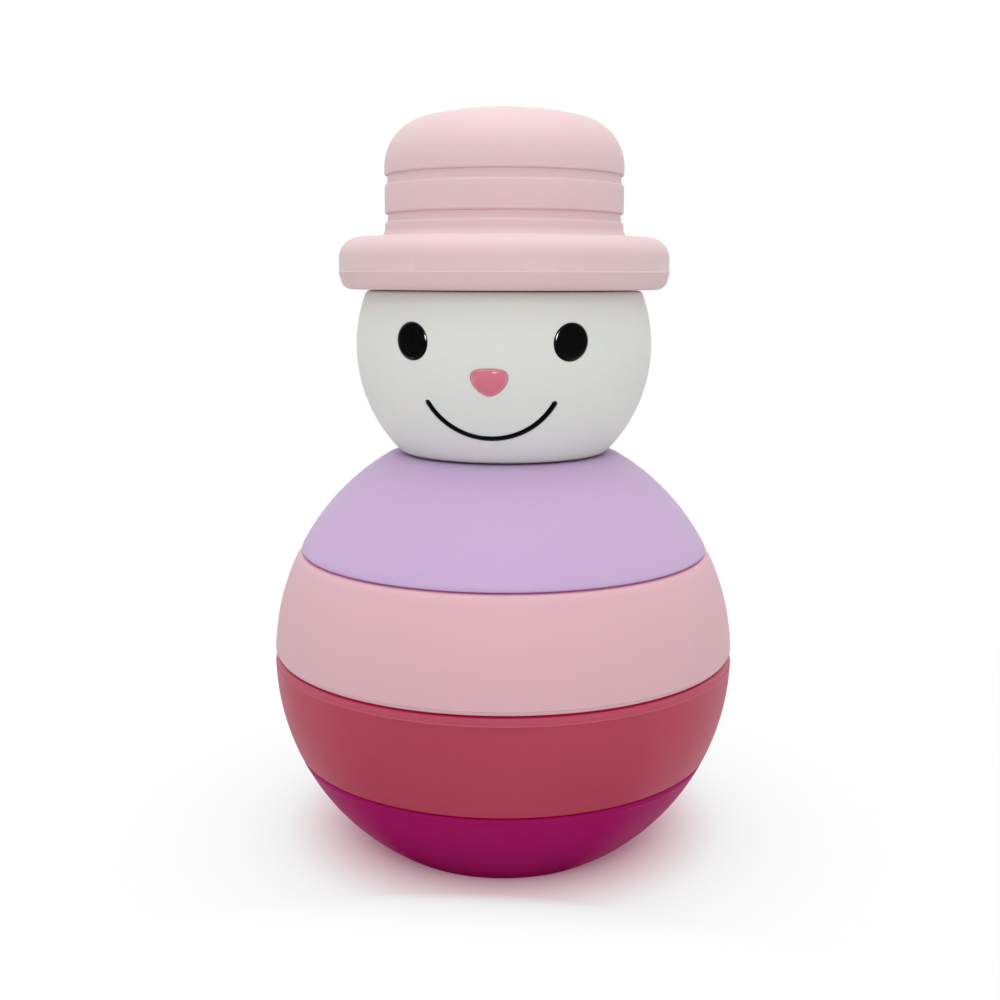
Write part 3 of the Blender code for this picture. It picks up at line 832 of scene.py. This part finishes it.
hat_profile += arc(lower_rim, BRIM_LOWER_ROUND, -BRIM_LOWER_LEAN, -math.pi / 2, 2 * ROUND_STEPS)
hat_profile += socket_mouth(NECK_SOCKET_RADIUS, hat_seat)
hat_profile += well_roof(NECK_SOCKET_RADIUS, hat_top - HAT_ROOF_THICKNESS)
hat = turned("hat_moulding", hat_profile, TURN_STEPS)
hat_pink = silicone(
    "hat_pink_silicone",
    linear(225, 198, 200),
    roughness=0.55,
    shine=0.4,
    mottle=0.03,
    lint=0.0,
    grain=0.25,
    underside=hat_seat,
)
dress(hat, hat_pink, "hat", "hat")


# Studio: a white tent round a floor that burns out to plain white away from the toy. Where the floor's shadow
# fades, a pink glow is painted into the burnt-out floor as painted bounce light of the toy's colour. One lamp
# hangs over the top, a low one fills in from the front, and two above the camera give the catch lights of
# nose and eyes. Two black cards in front, seen only in reflections, keep the inlays deep. None of it belongs
# to the toy.
FLOOR_RADIUS = 0.6
SHADOW_MIDDLE = (-0.0005, 0.006, 0.0)
SHADOW_START = 0.0251
SHADOW_SPREAD = 0.0155
FRONT_START = 0.0258
FRONT_SPREAD = 0.0052
TENT_LIGHT = 0.73
FLOOR_PAINT = (0.70, 0.70, 0.70, 1.0)
PAINTED_PINK_BOUNCE = (1.0, 0.35, 0.50, 1.0)
PAINTED_BOUNCE_START = 0.12
PAINTED_BOUNCE_END = 0.72
WHITE = (1.0, 1.0, 1.0, 1.0)
CARD_BLACK = (0.01, 0.01, 0.01, 1.0)
STANDING_CARD_RADIUS = 6.0
STANDING_CARD_PLACE = (0.0, -0.6, 0.1)
LYING_CARD_RADIUS = 0.285
LYING_CARD_PLACE = (0.0, -0.305, 0.0006)
DISC_STEPS = 96
TOY_MIDDLE = (0.0, 0.0, 0.07)
FACE_MIDDLE = (0.0, 0.0, 0.1)

bpy.context.scene.view_settings.view_transform = "Standard"


def disc(name, radius):
    """A flat round panel that belongs to the studio."""
    shape = bmesh.new()
    bmesh.ops.create_circle(shape, cap_ends=True, radius=radius, segments=DISC_STEPS)
    mesh = bpy.data.meshes.new(name)
    shape.to_mesh(mesh)
    shape.free()
    obj = bpy.data.objects.new(name, mesh)
    bpy.context.scene.collection.objects.link(obj)
    return obj


def studio_paint(name):
    """An empty material and its node tree."""
    material = bpy.data.materials.new(name)
    material.use_nodes = True
    material.node_tree.nodes.clear()
    return material, material.node_tree


def mixed_shader(tree, share, first, second):
    """The output of a Mix Shader between two shader outputs."""
    mix = tree.nodes.new("ShaderNodeMixShader")
    tree.links.new(share, mix.inputs[0])
    tree.links.new(first, mix.inputs[1])
    tree.links.new(second, mix.inputs[2])
    return mix.outputs["Shader"]


def seen_directly(tree):
    """1 for what the camera, a reflection or a clear piece looks at, 0 for light that falls on the toy."""
    path = tree.nodes.new("ShaderNodeLightPath")
    camera_or_gloss = maths(tree, "MAXIMUM", path.outputs["Is Camera Ray"], path.outputs["Is Glossy Ray"])
    return maths(tree, "MAXIMUM", camera_or_gloss, path.outputs["Is Transmission Ray"])


world = bpy.data.worlds.new("white_tent")
bpy.context.scene.world = world
world.use_nodes = True
tent = world.node_tree
tent.nodes.clear()
tent_light = add_node(tent, "ShaderNodeBackground", Color=WHITE, Strength=TENT_LIGHT).outputs["Background"]
tent_white = add_node(tent, "ShaderNodeBackground", Color=WHITE, Strength=1.0).outputs["Background"]
tent_seen = mixed_shader(tent, seen_directly(tent), tent_light, tent_white)
add_node(tent, "ShaderNodeOutputWorld", Surface=tent_seen)

white_paint, ground = studio_paint("white_floor")
place_on_floor = ground.nodes.new("ShaderNodeTexCoord").outputs["Object"]
away = ground.nodes.new("ShaderNodeVectorMath")
away.operation = "DISTANCE"
ground.links.new(place_on_floor, away.inputs[0])
away.inputs[1].default_value = SHADOW_MIDDLE
inside = maths(ground, "SUBTRACT", SHADOW_START, away.outputs["Value"])
round_shadow = maths(ground, "EXPONENT", maths(ground, "DIVIDE", inside, SHADOW_SPREAD))
depth = add_node(ground, "ShaderNodeSeparateXYZ", Vector=place_on_floor).outputs["Y"]
behind = maths(ground, "ADD", depth, FRONT_START)
front_shadow = maths(ground, "EXPONENT", maths(ground, "DIVIDE", behind, FRONT_SPREAD))
shadow_left = maths(ground, "MINIMUM", maths(ground, "MINIMUM", round_shadow, front_shadow), 1.0)
fade = maths(ground, "SUBTRACT", 1.0, shadow_left)
lit = add_node(ground, "ShaderNodeBsdfDiffuse", Color=FLOOR_PAINT).outputs["BSDF"]
# Painted bounce light: the burnt-out floor glows pink where the shadow fades, in place of light bounced off
# the magenta base.
past_painted_bounce = add_node(
    ground,
    "ShaderNodeMapRange",
    Value=fade,
    From_Min=PAINTED_BOUNCE_START,
    From_Max=PAINTED_BOUNCE_END,
)
painted_bounce_glow = mixed_colour(ground, past_painted_bounce.outputs["Result"], PAINTED_PINK_BOUNCE, WHITE)
burnt_out_with_painted_bounce = add_node(ground, "ShaderNodeEmission", Color=painted_bounce_glow, Strength=1.0).outputs["Emission"]
white_share = maths(ground, "MULTIPLY", seen_directly(ground), fade)
add_node(ground, "ShaderNodeOutputMaterial", Surface=mixed_shader(ground, white_share, lit, burnt_out_with_painted_bounce))
disc("studio_floor", FLOOR_RADIUS).data.materials.append(white_paint)

black_paint, card_tree = studio_paint("black_card")
card_face = add_node(card_tree, "ShaderNodeBsdfDiffuse", Color=CARD_BLACK).outputs["BSDF"]
add_node(card_tree, "ShaderNodeOutputMaterial", Surface=card_face)
standing_card = disc("standing_card", STANDING_CARD_RADIUS)
standing_card.location = STANDING_CARD_PLACE
standing_card.rotation_euler = (math.pi / 2, 0.0, 0.0)
lying_card = disc("lying_card", LYING_CARD_RADIUS)
lying_card.location = LYING_CARD_PLACE
for card in (standing_card, lying_card):
    card.visible_camera = False
    card.visible_diffuse = False
    card.visible_shadow = False
    card.data.materials.append(black_paint)


def soft_box(name, size, radiance, place, target):
    """A square lamp of a given brightness that looks at a point."""
    lamp = bpy.data.lights.new(name, "AREA")
    lamp.size = size
    lamp.energy = math.pi * size**2 * radiance
    obj = bpy.data.objects.new(name, lamp)
    obj.location = place
    obj.rotation_euler = (Vector(target) - Vector(place)).to_track_quat("-Z", "Y").to_euler()
    bpy.context.scene.collection.objects.link(obj)
    return obj


soft_box("overhead_box", size=0.6, radiance=2.2, place=(0.0, -0.05, 0.82), target=TOY_MIDDLE)
front_fill = soft_box("front_fill", size=0.5, radiance=0.7, place=(0.03, -0.75, 0.2), target=TOY_MIDDLE)
front_fill.visible_glossy = False
soft_box("catch_lamp", size=0.12, radiance=8.0, place=(0.05, -0.53, 0.41), target=FACE_MIDDLE)
eye_lamp = soft_box("eye_lamp", size=0.16, radiance=150.0, place=(0.05, -0.53, 0.36), target=FACE_MIDDLE)
eye_lamp.visible_diffuse = False
eye_lamp.light_linking.receiver_collection = eyes


# Camera: at the height of the head, close by and looking slightly down, a little to the toy's left side. Its
# lens and place were fitted to the toy's outline, seams and face.
CAMERA_LENS = 45.18
CAMERA_DISTANCE = 0.24331
CAMERA_HEIGHT = 0.11131
CAMERA_AZIMUTH = math.radians(5.2)
CAMERA_PITCH = 0.1756
CAMERA_ROLL = 0.0023
CAMERA_AIM = math.radians(0.16)

lens = bpy.data.cameras.new("camera")
lens.sensor_width = 36.0
lens.lens = CAMERA_LENS
lens.clip_start = 0.01
lens.clip_end = 20.0
camera = bpy.data.objects.new("camera", lens)
camera.location = (
    CAMERA_DISTANCE * math.sin(CAMERA_AZIMUTH),
    -CAMERA_DISTANCE * math.cos(CAMERA_AZIMUTH),
    CAMERA_HEIGHT,
)
upright = Matrix.Rotation(math.pi / 2 - CAMERA_PITCH, 4, "X")
heading = Matrix.Rotation(CAMERA_AZIMUTH + CAMERA_AIM, 4, "Z")
camera.rotation_euler = (heading @ upright @ Matrix.Rotation(CAMERA_ROLL, 4, "Z")).to_euler()
bpy.context.scene.collection.objects.link(camera)
bpy.context.scene.camera = camera
